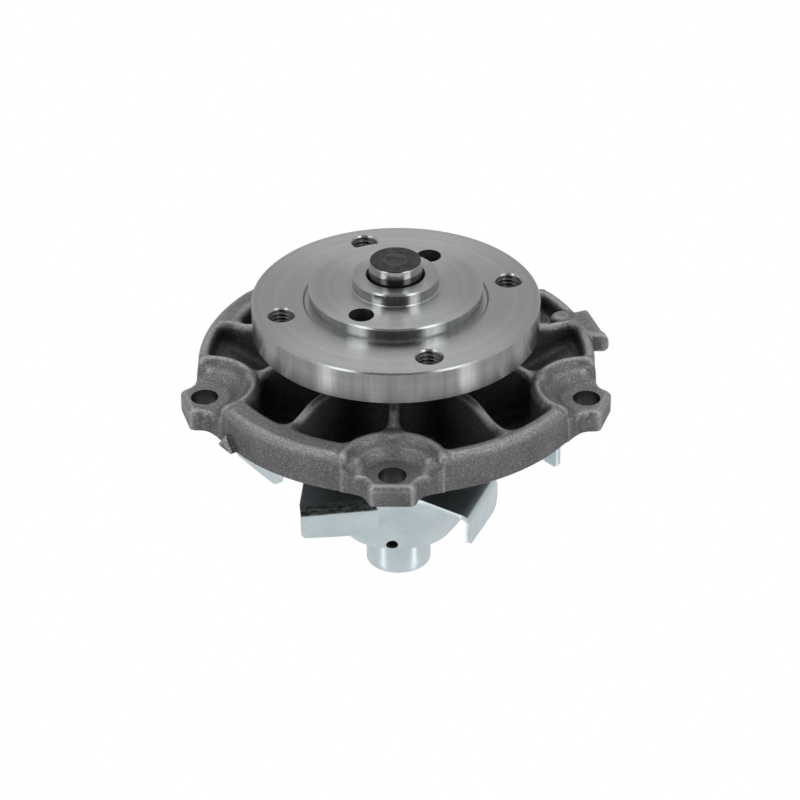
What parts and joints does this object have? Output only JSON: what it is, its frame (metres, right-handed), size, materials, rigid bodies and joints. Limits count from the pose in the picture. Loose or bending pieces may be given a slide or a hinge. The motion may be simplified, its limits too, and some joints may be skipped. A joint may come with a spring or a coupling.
{
  "type": "automotive water pump",
  "caption": "Engine coolant pump: ribbed cast-iron housing with bolt ears, steel drive hub, integral shaft bearing, face seal and pressed-steel vaned impeller.",
  "frame": {"origin": "centre of the gasket face, on the shaft axis", "axes": "+Z along the shaft, from the engine towards the drive hub; +X across the housing, 19 degrees round from one bolt ear; -Y towards another bolt ear"},
  "size_m": [0.1296, 0.1257, 0.1065],
  "materials": {
    "cast_iron": "shot-blasted casting, satin",
    "bearing_steel": "ground",
    "seal_rubber": "matte",
    "brass_cup": "pressed",
    "bellows_rubber": "matte",
    "stainless_pressing": "pressed",
    "spring_wire": "bright wire",
    "carbon": "moulded carbon graphite",
    "machined_steel": "turned and bored, satin",
    "ground_steel": "ground, with a dark hardened end",
    "zinc_plate": "clear zinc plated sheet",
    "ceramic": "lapped ceramic",
    "seat_rubber": "matte",
    "slinger_rubber": "matte",
    "cage_nylon": "glass-filled nylon",
    "rolling_steel": "polished"
  },
  "bodies": {
    "casing": {"pump_housing": "cast_iron", "bearing_outer_ring": "bearing_steel", "bearing_front_seal": "seal_rubber", "bearing_rear_seal": "seal_rubber", "seal_cup": "brass_cup", "seal_bellows": "bellows_rubber", "bellows_clamp_ring": "stainless_pressing", "seal_spring": "spring_wire", "seal_carbon_ring": "carbon"},
    "rotor": {"drive_hub": "machined_steel", "bearing_shaft": "ground_steel", "impeller": "zinc_plate", "seal_seat_ring": "ceramic", "seal_seat_cup": "seat_rubber", "shaft_slinger": "slinger_rubber"},
    "ball_train": {"ball_cage": "cage_nylon", "ball_1": "rolling_steel", "ball_2": "rolling_steel", "ball_3": "rolling_steel", "ball_4": "rolling_steel", "ball_5": "rolling_steel", "ball_6": "rolling_steel", "ball_7": "rolling_steel", "ball_8": "rolling_steel"},
    "roller_train": {"roller_cage": "cage_nylon", "roller_1": "rolling_steel", "roller_2": "rolling_steel", "roller_3": "rolling_steel", "roller_4": "rolling_steel", "roller_5": "rolling_steel", "roller_6": "rolling_steel", "roller_7": "rolling_steel", "roller_8": "rolling_steel", "roller_9": "rolling_steel", "roller_10": "rolling_steel"}
  },
  "joints": [
    {"name": "rotor_spin", "type": "hinge", "parent": "casing", "child": "rotor", "pos_m": [0, 0, 0], "axis": [0, 0, 1], "continuous": true},
    {"name": "ball_train_spin", "type": "hinge", "parent": "casing", "child": "ball_train", "pos_m": [0, 0, -0.0115], "axis": [0, 0, 1], "continuous": true},
    {"name": "roller_train_spin", "type": "hinge", "parent": "casing", "child": "roller_train", "pos_m": [0, 0, 0.005], "axis": [0, 0, 1], "continuous": true}
  ],
  "couplings": [
    {"joint": "ball_train_spin", "follows": "rotor_spin", "ratio": 0.34736},
    {"joint": "roller_train_spin", "follows": "rotor_spin", "ratio": 0.39183}
  ]
}
